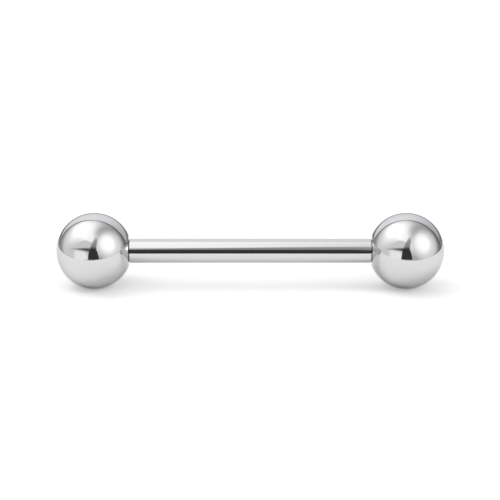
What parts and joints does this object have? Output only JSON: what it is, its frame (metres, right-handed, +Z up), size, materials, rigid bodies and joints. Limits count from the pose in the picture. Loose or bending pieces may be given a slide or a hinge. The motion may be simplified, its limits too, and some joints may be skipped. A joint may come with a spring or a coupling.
{
  "type": "tongue barbell",
  "caption": "Straight polished steel barbell for a pierced tongue: a plain round bar with a plain ball that unscrews from each end.",
  "frame": {"origin": "on the surface it lies on, straight below the middle of the bar", "axes": "+X along the bar, +Y away from the viewer, +Z up"},
  "size_m": [0.0256, 0.005, 0.005],
  "materials": {
    "polished_steel": "mirror-polished stainless steel"
  },
  "bodies": {
    "bar": {"bar": "polished_steel"},
    "ball_left": {"ball_left": "polished_steel"},
    "ball_right": {"ball_right": "polished_steel"}
  },
  "joints": [
    {"name": "ball_left_unscrew", "type": "slide", "parent": "bar", "child": "ball_left", "axis": [-1, 0, 0], "range_m": [0, 0.02]},
    {"name": "ball_right_unscrew", "type": "slide", "parent": "bar", "child": "ball_right", "axis": [1, 0, 0], "range_m": [0, 0.02]}
  ]
}
